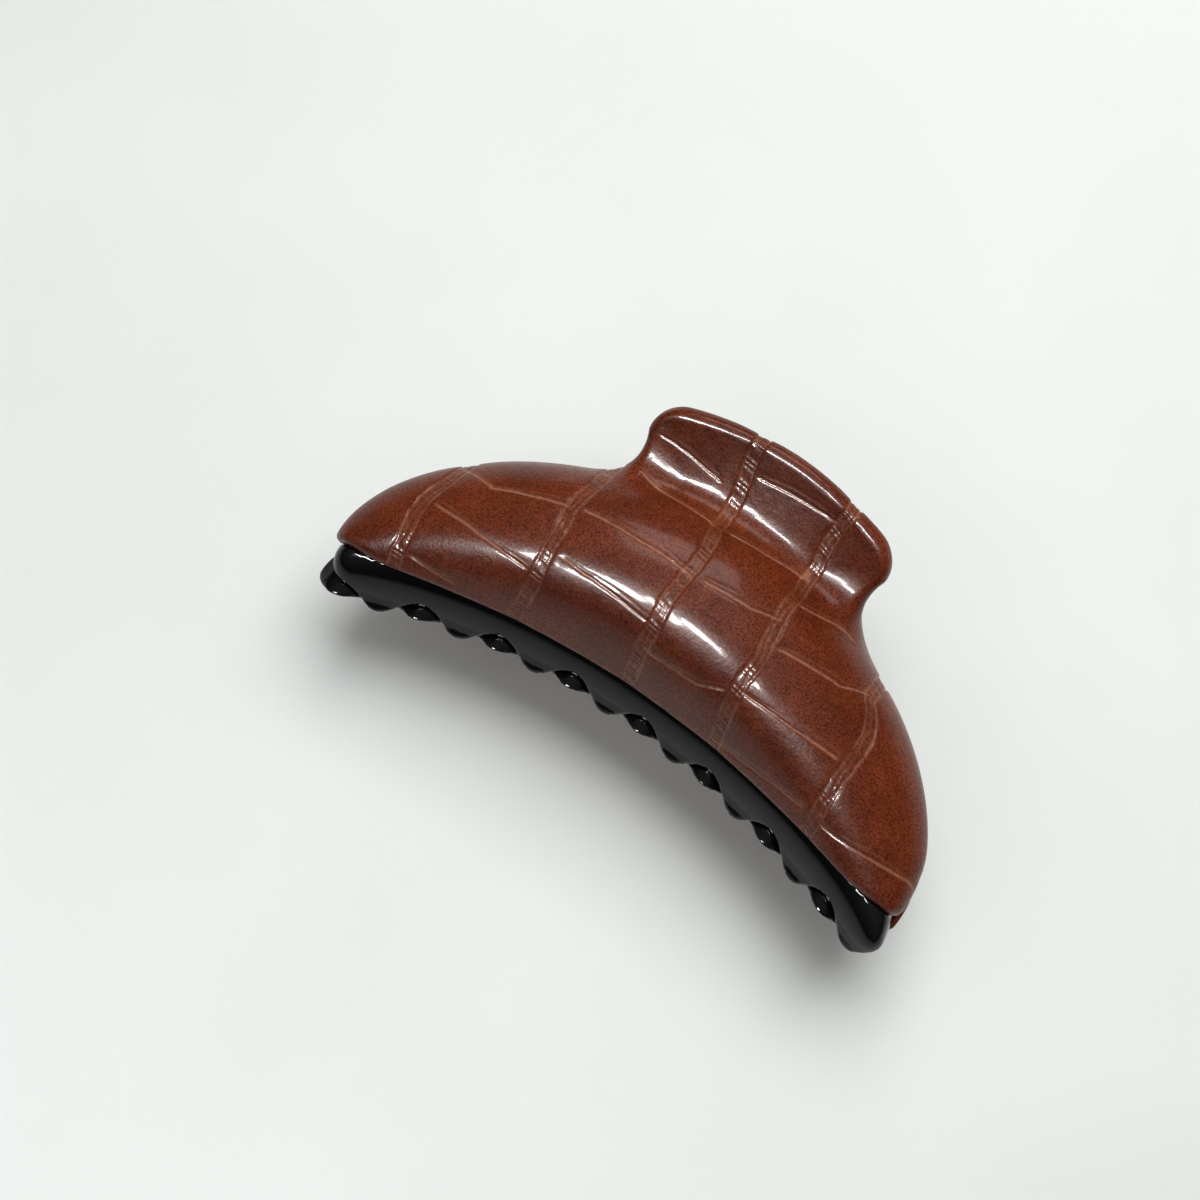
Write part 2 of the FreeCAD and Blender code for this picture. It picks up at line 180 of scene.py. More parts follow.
def section(x):
    """The body's outer curve at x, run on past both ends: lengths round it, h, d and the
    height of its polar centre.
    """
    u = min(1.0, abs(x) / HALF_LENGTH)
    base = -EDGE_SAG * u * u
    low = base - EDGE_LOW
    k = taper(min(abs(x), HALF_LENGTH))
    top = max(base + END_HEIGHT, -EDGE_SAG + (TOP_H + EDGE_SAG) * k ** (1.0 / TOP_POWER))
    deep = (BULGE - END_DEPTH) * k ** (1.0 / DEPTH_POWER) + END_DEPTH
    mid = base + (top - base) * MID_RATIO
    cosb, sinb = math.cos(EDGE_ANGLE), math.sin(EDGE_ANGLE)
    pull = min(LOW_PULL * deep / sinb, 0.9 * (mid - low) / cosb)
    crest = min(CREST_D, 0.5 * deep)
    t = np.linspace(0.0, 1.0, 160)
    h = np.concatenate([bezier((low, low + pull * cosb, mid - LOW_HOLD * (mid - low), mid), t),
                        bezier((mid, mid + HIGH_PULL * (top - mid), top, top), t[1:])])
    d = np.concatenate([bezier((0.0, pull * sinb, deep, deep), t),
                        bezier((deep, deep, crest + HIGH_HOLD * (deep - crest), crest), t[1:])])
    h = np.concatenate([[low - RUN_ON * cosb], h, [top]])
    d = np.concatenate([[-RUN_ON * sinb], d, [crest - RUN_ON]])
    s = np.concatenate([[0.0], np.cumsum(np.hypot(np.diff(h), np.diff(d)))]) - RUN_ON
    return s, h, d, (low + top) / 2.0


def build_tables():
    """Radius and length of every section, by distance along the clip and polar angle."""
    xs = np.arange(0.0, HALF_LENGTH + TABLE_STEP / 2, TABLE_STEP)
    angles = np.linspace(-math.pi, math.pi, ANGLE_STEPS + 1)
    radius = np.zeros((len(xs), len(angles)))
    length = np.zeros_like(radius)
    centre = np.zeros(len(xs))
    middle = np.zeros(len(xs))
    band = np.zeros(len(xs))
    for i, x in enumerate(xs):
        s, h, d, centre[i] = section(x)
        a = np.unwrap(np.arctan2(h - centre[i], d))
        r = np.hypot(h - centre[i], d)
        radius[i] = np.interp(angles, a, r)
        length[i] = np.interp(angles, a, s)
        middle[i] = s[d.argmax()]
        u2 = (x / HALF_LENGTH) ** 2
        wanted = BAND_MID * (1.0 - u2) + BAND_END * u2
        band[i] = min(wanted, BAND_MOST * (s[-1] - RUN_ON))
    return xs, radius, length, centre, middle, band


XS, RADIUS, LENGTH, CENTRE, MIDDLE_S, BAND_S = build_tables()


def lookup(table, x, angle):
    """Bilinear lookup by |x| and polar angle."""
    i = np.clip(np.abs(x) / TABLE_STEP, 0, len(XS) - 1.001)
    j = np.clip((angle + math.pi) / (2 * math.pi) * ANGLE_STEPS, 0, ANGLE_STEPS - 0.001)
    i0, j0 = i.astype(np.int32), j.astype(np.int32)
    fi, fj = i - i0, j - j0
    row0 = table[i0, j0] * (1 - fj) + table[i0, j0 + 1] * fj
    row1 = table[i0 + 1, j0] * (1 - fj) + table[i0 + 1, j0 + 1] * fj
    return row0 * (1 - fi) + row1 * fi


def along(table, x):
    """Lookup by |x| alone."""
    return np.interp(np.abs(x), XS, table)


def body_raw(x, h, d):
    """Negative inside the body's outline; not yet a true distance."""
    c = along(CENTRE, x)
    angle = np.arctan2(h - c, d)
    f = np.hypot(h - c, d) - lookup(RADIUS, x, angle)
    return np.maximum(f, np.abs(x) - HALF_LENGTH + 0.02)


def rounded_corner(across, down, r):
    """Distance to a rounded corner whose centre is at 0, 0."""
    return np.hypot(np.maximum(across, 0), np.maximum(down, 0)) + np.minimum(
        np.maximum(across, down), 0) - r


def end_field(x, h):
    """Outside of the two rounded ends, as seen along d."""
    tip = rounded_corner(x - TIP_CENTRE[0], TIP_CENTRE[1] - h, TIP_R)
    retreat = rounded_corner(RETREAT_CENTRE[0] - x, RETREAT_CENTRE[1] - h, RETREAT_R)
    return np.maximum(tip, retreat)


def outline_field(x, h, d):
    """Distance to the curved outline alone."""
    e = 0.05
    f = body_raw(x, h, d)
    gx = (body_raw(x + e, h, d) - body_raw(x - e, h, d)) / (2 * e)
    gh = (body_raw(x, h + e, d) - body_raw(x, h - e, d)) / (2 * e)
    gd = (body_raw(x, h, d + e) - body_raw(x, h, d - e)) / (2 * e)
    slope = np.maximum(1.0, np.sqrt(gx * gx + gh * gh + gd * gd))
    # close to the polar centre the slope says nothing about the distance
    trust = smoothstep(*POLE_R, np.hypot(h - along(CENTRE, x), d))
    return f / (1.0 + (slope - 1.0) * trust)


def body_field(x, h, d):
    """Distance to the body's outer surface, with its rounded ends."""
    return smooth_max(outline_field(x, h, d), end_field(x, h), END_BLEND)


def body_length(x, h, d):
    """Length round the section at the nearest polar angle."""
    return lookup(LENGTH, x, np.arctan2(h - along(CENTRE, x), d))


def handle_frame(x, h, d):
    """Depth under the handle's front face, distance past its top edge, share of its height.

    x counts from the handle's own middle.
    """
    rise = HANDLE_TIP_H - HANDLE_BOW * (x / HANDLE_HALF_TIP) ** 2 - HANDLE_H
    w = np.clip((h - HANDLE_H) / rise, -0.6, 1.3)
    reach = BULGE - HANDLE_D
    lean = 1.0 - HANDLE_CURL
    front = (HANDLE_D + reach * (lean * w + HANDLE_CURL * w * np.abs(w))
             - HANDLE_CROWN * (x / CROWN_X) ** 2)
    slope = reach * (lean + 2 * HANDLE_CURL * np.abs(w)) / rise
    cos_slope = 1.0 / np.sqrt(1.0 + slope * slope)
    depth = (front - d) * cos_slope
    foot = h - depth * slope * cos_slope
    w_foot = (foot - HANDLE_H) / rise
    return depth, (w_foot - 1.0) * rise / cos_slope, w_foot


def handle_field(x, h, d, inset=0.0, edge=HANDLE_EDGE):
    """Distance to the handle plate, with rounded edges."""
    x = x - HANDLE_SHIFT
    depth, beyond, w = handle_frame(x, h, d)
    flare = np.clip(w / FLARE_END, 0.0, 1.0) ** FLARE_POWER
    half = HANDLE_HALF_NECK + (HANDLE_HALF_TIP - HANDLE_HALF_NECK) * flare - inset
    a = np.abs(x) - half + HANDLE_CORNER
    b = beyond + inset + HANDLE_CORNER
    outline = rounded_corner(a, b, HANDLE_CORNER) + edge
    outline = np.maximum(outline, HANDLE_FOOT_H - h)
    thick = np.abs(depth - HANDLE_THICK / 2) - HANDLE_THICK / 2 + inset + edge
    return rounded_corner(outline, thick, edge)


def envelope(x, h, d):
    """Outside of the leather: body and handle with a fillet at the crease."""
    blend = CREASE_BLEND + (SIDE_BLEND - CREASE_BLEND) * smoothstep(*SIDE_BLEND_X, np.abs(x))
    return smooth_min(body_field(x, h, d), handle_field(x, h, d), blend)


def behind_rim(x, h, d, more=0.0):
    """Negative on the kept side of the rim, where the half stops short of its mate."""
    rim = RIM_D_HANDLE + (RIM_D - RIM_D_HANDLE) * smoothstep(*RIM_STEP, np.abs(x)) + more
    return np.minimum(rim - d, (body_length(x, h, d) - along(MIDDLE_S, x)) * 0.8)


def leather_inset(x, h, d):
    """How far inside the leather's lower edge a point is, along the surface."""
    corner = rounded_corner(x - LEATHER_CORNER[0], LEATHER_CORNER[1] - h, LEATHER_CORNER_R)
    return np.minimum(body_length(x, h, d) - along(BAND_S, x), -corner)


def skin_field(x, h, d):
    """The leather: a thin layer, turned under along its lower edge."""
    out = envelope(x, h, d)
    inset = leather_inset(x, h, d)
    lip = 1.0 - smoothstep(*LIP, inset)
    thick = SKIN + (PLATE - GAP) * lip
    layer = smooth_max(out, -inset, 1.0)
    layer = smooth_max(layer, behind_rim(x, h, d), SKIN_RIM_EDGE)
    layer = smooth_max(layer, RIM_D - d, 0.5)
    return smooth_max(layer, -(out + thick), 0.25)


def tooth_edge(x):
    """d of the toothed edge."""
    first = -(TOOTH_COUNT - 1) / 2.0 * TOOTH_PITCH + TOOTH_PITCH / 4.0
    last = first + (TOOTH_COUNT - 1) * TOOTH_PITCH
    wave = -np.cos(2.0 * math.pi * (x - first) / TOOTH_PITCH)
    outside = (x < first - TOOTH_PITCH / 2.0) | (x > last + TOOTH_PITCH / 2.0)
    return TOOTH_GAP + TOOTH_DEPTH * np.where(outside, 1.0, wave)


def polygon_field(h, d, corners):
    """Distance to a closed outline in h and d."""
    best = np.full(h.shape, 1e9)
    inside = np.zeros(h.shape, bool)
    for (h0, d0), (h1, d1) in zip(corners, corners[1:] + corners[:1]):
        eh, ed = h1 - h0, d1 - d0
        t = np.clip(((h - h0) * eh + (d - d0) * ed) / (eh * eh + ed * ed), 0.0, 1.0)
        best = np.minimum(best, (h - h0 - t * eh) ** 2 + (d - d0 - t * ed) ** 2)
        crosses = (d0 > d) != (d1 > d)
        inside ^= crosses & (h < h0 + (d - d0) * eh / (ed if ed else 1.0))
    return np.where(inside, -1.0, 1.0) * np.sqrt(best)


def lug_field(x, h, d, x0):
    """A hinge lug: a disc on the pin and a web that runs into the wall."""
    side = np.abs(x - x0 - LUG_T / 2) - LUG_T / 2
    disc = np.hypot(h - PIN_H, d) - LUG_R
    profile = smooth_min(disc, polygon_field(h, d, LUG_WEB), WEB_FILLET)
    return smooth_max(profile, side, LUG_EDGE)


def jaw_field(x, h, d):
    """The black moulding: band and teeth, wall, handle core and lugs."""
    body = body_field(x, h, d)
    s = body_length(x, h, d)
    rise = (s - BAND_FLAT_S) / (along(BAND_S, x) - BAND_FLAT_S)
    recess = BAND_TOP_RECESS * np.clip(rise, 0.0, 1.2) ** 2
    recess = recess + BAND_FLARE * np.clip(s - BAND_FLAT_S, -3.5, 0.0)
    sink = recess + (COVERED - recess) * smoothstep(*BAND_STEP, leather_inset(x, h, d))
    inner = -(body + COVERED + WALL)
    wall = smooth_max(body + sink, inner, WALL_EDGE)
    wall = smooth_max(wall, (tooth_edge(x) - d) * TOOTH_SLOPE, TOOTH_EDGE)
    root = -EDGE_SAG * (x / HALF_LENGTH) ** 2 - EDGE_LOW + TOOTH_ROOT
    wall = np.maximum(wall, np.minimum(TOOTH_BACK_D - d, h - root))
    wall = smooth_max(wall, behind_rim(x, h, d), RIM_EDGE)
    core = handle_field(x, h, d, inset=SKIN + GAP, edge=CORE_EDGE)
    core = smooth_max(core, inner, WALL_EDGE)
    part = smooth_min(wall, core, CORE_FILLET)
    for x0 in (LUG_INNER, -LUG_OUTER - LUG_T):
        lug = np.maximum(lug_field(x, h, d, x0), body + COVERED + LUG_DEPTH)
        part = smooth_min(part, lug, LUG_FILLET)
    bore = BORE_R - np.hypot(h - PIN_H, d)
    return smooth_max(part, bore, BORE_EDGE)


# ---------------------------------------------------------------- meshing a field

SLAB = 24                       # the field is sampled this many layers at a time


def surface_nets(field, low, high, step):
    """Closed quad mesh of field = 0 inside a box, its points moved onto the surface."""
    axes = [np.arange(a, b + step, step) for a, b in zip(low, high)]
    shape = [len(a) for a in axes]
    values = np.empty(shape, np.float32)
    for i in range(0, shape[0], SLAB):
        grid = np.meshgrid(axes[0][i:i + SLAB], axes[1], axes[2], indexing="ij")
        values[i:i + SLAB] = field(*grid)
    # the cells that the surface runs through
    inside = values < 0
    any_in = np.zeros([n - 1 for n in shape], bool)
    all_in = np.ones([n - 1 for n in shape], bool)
    corners = [(i, j, k) for i in (0, 1) for j in (0, 1) for k in (0, 1)]
    for c in corners:
        part = inside[tuple(slice(o, n - 1 + o) for o, n in zip(c, shape))]
        any_in |= part
        all_in &= part
    active = any_in & ~all_in
    index = np.full(active.shape, -1, np.int64)
    cells = np.argwhere(active)
    index[active] = np.arange(len(cells))
    # a cell's point is the mean of where the surface crosses its edges
    total = np.zeros((len(cells), 3))
    count = np.zeros(len(cells))
    for a in range(3):
        for c in corners:
            if c[a]:
                continue
            e = list(c)
            e[a] = 1
            va = values[tuple((cells + c).T)].astype(float)
            vb = values[tuple((cells + e).T)].astype(float)
            cross = (va < 0) != (vb < 0)
            t = np.where(cross, va / np.where(cross, va - vb, 1.0), 0.0)
            point = cells + np.array(c, float)
            point[:, a] += t
            total[cross] += point[cross]
            count[cross] += 1
    points = total / count[:, None] * step + np.array([a[0] for a in axes])
    # four cells meet at each crossed edge, and make a face
    quads = []
    for a in range(3):
        b, c = (a + 1) % 3, (a + 2) % 3
        lo_side = [slice(1, -1)] * 3
        lo_side[a] = slice(0, -1)
        hi_side = list(lo_side)
        hi_side[a] = slice(1, None)
        va = inside[tuple(lo_side)]
        vb = inside[tuple(hi_side)]
        changed = np.argwhere(va != vb)
        start = np.array([1, 1, 1])
        start[a] = 0
        base = changed + start
        ids = []
        for db, dc in ((1, 1), (0, 1), (0, 0), (1, 0)):
            q = base.copy()
            q[:, b] -= db
            q[:, c] -= dc
            ids.append(index[tuple(q.T)])
        quad = np.stack(ids, 1)
        flip = ~va[tuple(changed.T)]
        quad[flip] = quad[flip][:, ::-1]
        quads.append(quad)
    quads = np.concatenate(quads)
    for _ in range(3):
        points = onto_surface(field, points, step)
    return points, quads


def gradient(field, p, e=0.04):
    """Slope of a field at points, by differences over e each way."""
    g = np.empty_like(p)
    for a in range(3):
        q = p.copy()
        q[:, a] += e
        up = field(*q.T)
        q[:, a] -= 2 * e
        g[:, a] = (up - field(*q.T)) / (2 * e)
    return g


def onto_surface(field, p, step):
    """One Newton step towards field = 0, held to about half a cell."""
    f = field(*p.T)
    g = gradient(field, p)
    size = np.maximum((g * g).sum(1), 0.05)
    move = np.clip(-f / size, -0.5 * step, 0.5 * step)[:, None] * g
    return p + move


def new_object(name, data):
    """An object with this data, linked to the scene."""
    obj = bpy.data.objects.new(name, data)
    bpy.context.scene.collection.objects.link(obj)
    return obj


def new_mesh(name, points, faces):
    """A smooth-shaded mesh from points in clip coordinates (mm), in the CAD frame (m)."""
    mesh = bpy.data.meshes.new(name)
    mesh.from_pydata(((points + FRAME_SHIFT) * MM).tolist(), [], faces)
    mesh.polygons.foreach_set("use_smooth", [True] * len(mesh.polygons))
    return mesh


def make_mesh(name, points, faces, half_turn=False, field=None):
    """A mesh object from clip coordinates; with a field, its shading follows the true surface."""
    turn = np.array([-1.0, 1.0, -1.0]) if half_turn else np.ones(3)
    mesh = new_mesh(name, points * turn, faces.tolist())
    mesh.validate()
    mesh.update()
    if field is not None:
        normals = gradient(field, points, 0.15) * turn
        normals /= np.maximum(np.linalg.norm(normals, axis=1, keepdims=True), 1e-6)
        mesh.normals_split_custom_set_from_vertices(normals.tolist())
    return new_object(name, mesh)


def refine(points, faces, zone):
    """Quads cut to triangles, and those cut smaller where an edge's middle is in the zone."""
    tris = np.concatenate([faces[:, [0, 1, 2]], faces[:, [0, 2, 3]]])
    pairs = np.sort(np.stack([tris, np.roll(tris, -1, 1)], 2).reshape(-1, 2), 1)
    edges, which = np.unique(pairs, axis=0, return_inverse=True)
    which = which.reshape(-1, 3)
    middle = points[edges].mean(1)
    split = zone(middle)
    new_id = np.full(len(edges), -1)
    new_id[split] = len(points) + np.arange(split.sum())
    cut = split[which]
    count = cut.sum(1)
    out = [tris[count == 0]]
    for n in (1, 2):
        rows = np.where(count == n)[0]
        odd = cut[rows].argmax(1) if n == 1 else cut[rows].argmin(1)
        turn = (np.arange(3)[None] + odd[:, None]) % 3
        t = np.take_along_axis(tris[rows], turn, 1)
        m = new_id[np.take_along_axis(which[rows], turn, 1)]
        if n == 1:
            out += [np.stack([t[:, 0], m[:, 0], t[:, 2]], 1),
                    np.stack([m[:, 0], t[:, 1], t[:, 2]], 1)]
        else:
            out += [np.stack([t[:, 2], m[:, 2], m[:, 1]], 1),
                    np.stack([t[:, 0], t[:, 1], m[:, 1]], 1),
                    np.stack([t[:, 0], m[:, 1], m[:, 2]], 1)]
    rows = count == 3
    t, m = tris[rows], new_id[which[rows]]
    out += [np.stack([t[:, 0], m[:, 0], m[:, 2]], 1),
            np.stack([t[:, 1], m[:, 1], m[:, 0]], 1),
            np.stack([t[:, 2], m[:, 2], m[:, 1]], 1), m]
    return np.concatenate([points, middle[split]]), np.concatenate(out)


# ---------------------------------------------------------------- the embossed pattern

# The pattern's coordinates are x and v: the length round from h = 0, in mm.  Over the
# handle v runs on from its neck, by HANDLE_V for the handle's whole height.
NECK_V = 43.0
HANDLE_V = 15.5
LOWER_SHIFT = 6.5               # the lower half's leather is cut this far along the pattern
# Wide double grooves across the clip.
GROOVES = [
    [(-41.9, 9.3), (-42.7, 14.2), (-43.7, 18.4), (-43.9, 21.3), (-43.4, 23.7), (-42.7, 26.6),
     (-42.2, 30.3)],
    [(-21.8, 8.0), (-21.3, 14.9), (-21.8, 20.8), (-22.1, 26.1), (-22.8, 29.9), (-23.1, 33.8),
     (-22.8, 38.8)],
    [(-1.8, 8.3), (-1.8, 15.2), (-2.0, 22.0), (-2.5, 26.3), (-2.3, 29.5), (-1.8, 33.3),
     (-2.3, 37.7), (-3.3, 42.6), (-3.5, 49.2), (-4.9, 56.6)],
    [(14.6, 9.3), (14.1, 17.2), (13.8, 22.3), (14.1, 27.1), (13.5, 30.7), (13.0, 34.9),
     (12.8, 41.9), (12.2, 50.6), (12.6, 58.2)],
    [(33.9, 9.0), (33.9, 18.9), (34.1, 23.4), (33.9, 27.5), (32.9, 31.0), (30.9, 34.1)],
]
# Thin creases along the clip between the grooves.
CREASES = [
    [(-41.6, 21.1), (-33.1, 19.8), (-23.3, 18.5)],
    [(-42.2, 30.3), (-35.6, 27.9), (-23.6, 30.9)],
    [(-40.4, 11.6), (-32.4, 9.4)],
    [(-19.8, 22.8), (-8.8, 22.0), (-3.3, 21.4)],
    [(-21.3, 31.5), (-7.0, 31.7), (-2.0, 31.4)],
    [(-1.8, 16.4), (8.0, 16.8), (12.3, 19.4)],
    [(0.3, 31.8), (8.5, 32.3), (13.0, 33.9)],
    [(14.8, 20.7), (32.1, 21.8)],
    [(15.3, 29.7), (26.3, 31.4), (30.4, 34.6)],
    [(14.8, 8.3), (31.6, 11.8)],
    [(34.9, 11.6), (52.4, 15.3)],
    [(14.1, 38.9), (23.8, 41.7)],
    [(-19.3, 53.1), (-6.9, 49.5)],
    [(-2.6, 53.2), (11.8, 54.9)],
    [(-18.3, 44.2), (-3.5, 43.1)],
    [(-1.3, 42.9), (12.5, 45.4)],
]
GROOVE_HALF = 1.0               # the two lines of a groove lie this far from its middle
GROOVE_EDGE = (0.7, 1.25)       # and its bed fades out over this distance
LINE_WIDTH, SCAR_WIDTH = 0.2, 0.18
TWIN_OFF, TWIN_WIDTH = 0.75, 0.22
PILLOW_WIDTH = 1.9              # the leather swells up from a groove over this distance
CREASE_SAG_WIDTH = 1.5          # and from a crease over this one
BED_DEPTH, LINE_DEPTH, WRINKLE_DEPTH, PILLOW_DEPTH = 0.12, 0.17, 0.09, 0.2
CREASE_DEPTH, TWIN_DEPTH, CREASE_SAG = 0.16, 0.08, 0.12
DEEPEST = -0.55
GROOVE_SEED, SCAR_SEED, CREASE_SEED = 11, 31, 71


def wobble(v, seed, size):
    """A smooth random wave along v, in mm, the same on every run."""
    rng = np.random.default_rng(seed)
    total = np.zeros_like(v)
    for k in range(6):
        total += np.sin(v * (0.35 + 0.4 * k) + rng.uniform(0, 6.28)) / (1 + k)
    return size * total


def groove_offset(x, v, points, seed):
    """Signed distance across a wide groove."""
    p = np.array(points)
    line = np.interp(v, p[:, 1], p[:, 0]) + wobble(v, seed, 0.09)
    return x - line


def crease_offset(x, v, points, seed):
    """Signed distance across a crease, and how far past its ends a point is."""
    p = np.array(points)
    line = np.interp(x, p[:, 0], p[:, 1]) + wobble(x, seed, 0.06)
    past = np.maximum(p[0, 0] - x, x - p[-1, 0])
    return v - line, past


def pattern_v(x, h, d):
    """The length coordinate of the pattern over body and handle."""
    on_handle = smoothstep(-1.2, 1.2, body_field(x, h, d) - handle_field(x, h, d))
    w = handle_frame(x - HANDLE_SHIFT, h, d)[2]
    on_body = body_length(x, h, d) - EDGE_LOW
    return on_body * (1 - on_handle) + (NECK_V + HANDLE_V * w) * on_handle


def emboss(x, v, shift):
    """Depth of the pattern (mm, negative is down) and how light the worn lines are.

    A groove is a shallow bed with two sharp lines, a wandering scar and short cross wrinkles.
    A crease is a sharp line with a fainter twin beside it.
    """
    x = x - shift
    depth = np.zeros_like(x)
    tan = np.zeros_like(x)
    near_groove = np.full_like(x, 99.0)
    for i, points in enumerate(GROOVES):
        q = groove_offset(x, v, points, GROOVE_SEED + i)
        bed = 1.0 - smoothstep(*GROOVE_EDGE, np.abs(q))
        scar = q - wobble(v, SCAR_SEED + i, 0.25)
        lines = (np.exp(-((q - GROOVE_HALF) / LINE_WIDTH) ** 2)
                 + np.exp(-((q + GROOVE_HALF) / LINE_WIDTH) ** 2)
                 + 0.5 * np.exp(-(scar / SCAR_WIDTH) ** 2))
        wrinkles = bed * (0.5 + 0.5 * np.sin(v * 5.1 + 2.2 * np.sin(v * 1.7 + i) + q * 1.5))
        depth -= BED_DEPTH * bed + LINE_DEPTH * lines + WRINKLE_DEPTH * wrinkles
        patchy = 0.5 + 0.5 * np.sin(v * 0.9 + i * 2.0)
        tan += 0.42 * lines * (0.3 + 0.7 * patchy) + 0.1 * wrinkles * patchy + 0.03 * bed
        near_groove = np.minimum(near_groove, np.abs(q) - GROOVE_HALF)
    depth -= PILLOW_DEPTH * np.exp(-np.maximum(near_groove, 0.0) / PILLOW_WIDTH)
    for i, points in enumerate(CREASES):
        q, past = crease_offset(x, v, points, CREASE_SEED + i)
        fade = 1.0 - smoothstep(-0.8, 0.6, past)
        line = fade * np.exp(-(q / LINE_WIDTH) ** 2)
        off = q - TWIN_OFF - 0.3 * np.sin(x * 0.25 + i)
        twin = 0.6 * fade * np.exp(-(off / TWIN_WIDTH) ** 2)
        sag = fade * np.exp(-np.abs(q) / CREASE_SAG_WIDTH)
        depth -= CREASE_DEPTH * line + TWIN_DEPTH * twin + CREASE_SAG * sag
        tan += 0.85 * line + 0.25 * twin
    return depth, np.clip(tan, 0.0, 1.0)


def near_lines(x, v, shift):
    """Where the pattern needs a finer mesh: beside each groove and crease."""
    x = x - shift
    near = np.zeros(x.shape, bool)
    for i, points in enumerate(GROOVES):
        near |= np.abs(groove_offset(x, v, points, GROOVE_SEED + i)) < GROOVE_HALF + 0.6
    for i, points in enumerate(CREASES):
        q, past = crease_offset(x, v, points, CREASE_SEED + i)
        near |= (np.abs(q - 0.3) < 1.0) & (past < 0.6)
    return near


def leather_mesh(name, points, faces, shift, half_turn):
    """The leather with its pattern pressed in, and the worn lines stored on its points."""
    def on_outside(p):
        return envelope(*p.T) > -0.25 * SKIN

    def zone(p):
        return on_outside(p) & near_lines(p[:, 0], pattern_v(*p.T), shift)

    points, faces = refine(points, faces, zone)
    points = onto_surface(skin_field, points, STEP)
    points = onto_surface(skin_field, points, STEP)
    out = envelope(*points.T)
    weight = smoothstep(-0.5, -0.02, out)
    depth, tan = emboss(points[:, 0], pattern_v(*points.T), shift)
    away = gradient(envelope, points)
    away /= np.maximum(np.linalg.norm(away, axis=1, keepdims=True), 1e-6)
    points = points + (np.maximum(depth, DEEPEST) * weight)[:, None] * away
    obj = make_mesh(name, points, faces, half_turn)
    attribute = obj.data.attributes.new("worn", "FLOAT", "POINT")
    attribute.data.foreach_set("value", (tan * weight).astype(np.float32))
    return obj


# ---------------------------------------------------------------- materials

def srgb(r, g, b):
    """Linear colour from 0-255 display values."""
    def one(c):
        c /= 255.0
        return c / 12.92 if c <= 0.04045 else ((c + 0.055) / 1.055) ** 2.4
    return (one(r), one(g), one(b), 1.0)


class Nodes:
    """Short helpers for building one material; noise sizes and bump depths are in mm."""

    def __init__(self, name):
        self.material = bpy.data.materials.new(name)
        self.material.use_nodes = True
        self.tree = self.material.node_tree
        self.shader = self.tree.nodes["Principled BSDF"]
        self.coords = self.tree.nodes.new("ShaderNodeTexCoord").outputs["Object"]

    def link(self, a, b):
        self.tree.links.new(a, b)

    def feed(self, socket, v):
        """Another node's output is linked; a number or colour is set on the socket."""
        if hasattr(v, "is_output"):
            self.link(v, socket)
        else:
            socket.default_value = v

    def noise(self, size_mm, detail=2.0, rough=0.5, distortion=0.0):
        """Cloudy noise, about 0.3 to 0.7."""
        n = self.tree.nodes.new("ShaderNodeTexNoise")
        n.inputs["Scale"].default_value = 1000.0 / size_mm
        n.inputs["Detail"].default_value = detail
        n.inputs["Roughness"].default_value = rough
        n.inputs["Distortion"].default_value = distortion
        self.link(self.coords, n.inputs["Vector"])
        return n.outputs["Fac"]

    def ramp(self, value, *stops):
        """Colours at positions between 0 and 1."""
        n = self.tree.nodes.new("ShaderNodeValToRGB")
        n.color_ramp.elements[0].position = stops[0][0]
        n.color_ramp.elements[0].color = stops[0][1]
        n.color_ramp.elements[1].position = stops[-1][0]
        n.color_ramp.elements[1].color = stops[-1][1]
        for at, colour in stops[1:-1]:
            n.color_ramp.elements.new(at).color = colour
        self.link(value, n.inputs["Fac"])
        return n.outputs["Color"]

    def scale(self, value, low, high, to_low, to_high):
        """The range low to high, moved to another and held there."""
        n = self.tree.nodes.new("ShaderNodeMapRange")
        keys = ("From Min", "From Max", "To Min", "To Max")
        for key, v in zip(keys, (low, high, to_low, to_high)):
            n.inputs[key].default_value = v
        self.link(value, n.inputs["Value"])
        return n.outputs["Result"]

    def mix(self, factor, a, b, mode="MIX"):
        n = self.tree.nodes.new("ShaderNodeMix")
        n.data_type = "RGBA"
        n.blend_type = mode
        for socket, v in ((n.inputs[0], factor), (n.inputs[6], a), (n.inputs[7], b)):
            self.feed(socket, v)
        return n.outputs[2]

    def math(self, operation, a, b):
        n = self.tree.nodes.new("ShaderNodeMath")
        n.operation = operation
        self.feed(n.inputs[0], a)
        self.feed(n.inputs[1], b)
        return n.outputs[0]

    def bump(self, height, distance_mm):
        """Fine relief in the shading only."""
        n = self.tree.nodes.new("ShaderNodeBump")
        n.inputs["Distance"].default_value = distance_mm * MM
        n.inputs["Strength"].default_value = 1.0
        self.link(height, n.inputs["Height"])
        self.link(n.outputs["Normal"], self.shader.inputs["Normal"])

    def attribute(self, name):
        """A number stored on the mesh's points."""
        n = self.tree.nodes.new("ShaderNodeAttribute")
        n.attribute_name = name
        return n.outputs["Fac"]

    def set(self, **values):
        """The shader's inputs, with _ for a space in their names."""
        for key, v in values.items():
            self.feed(self.shader.inputs[key.replace("_", " ")], v)


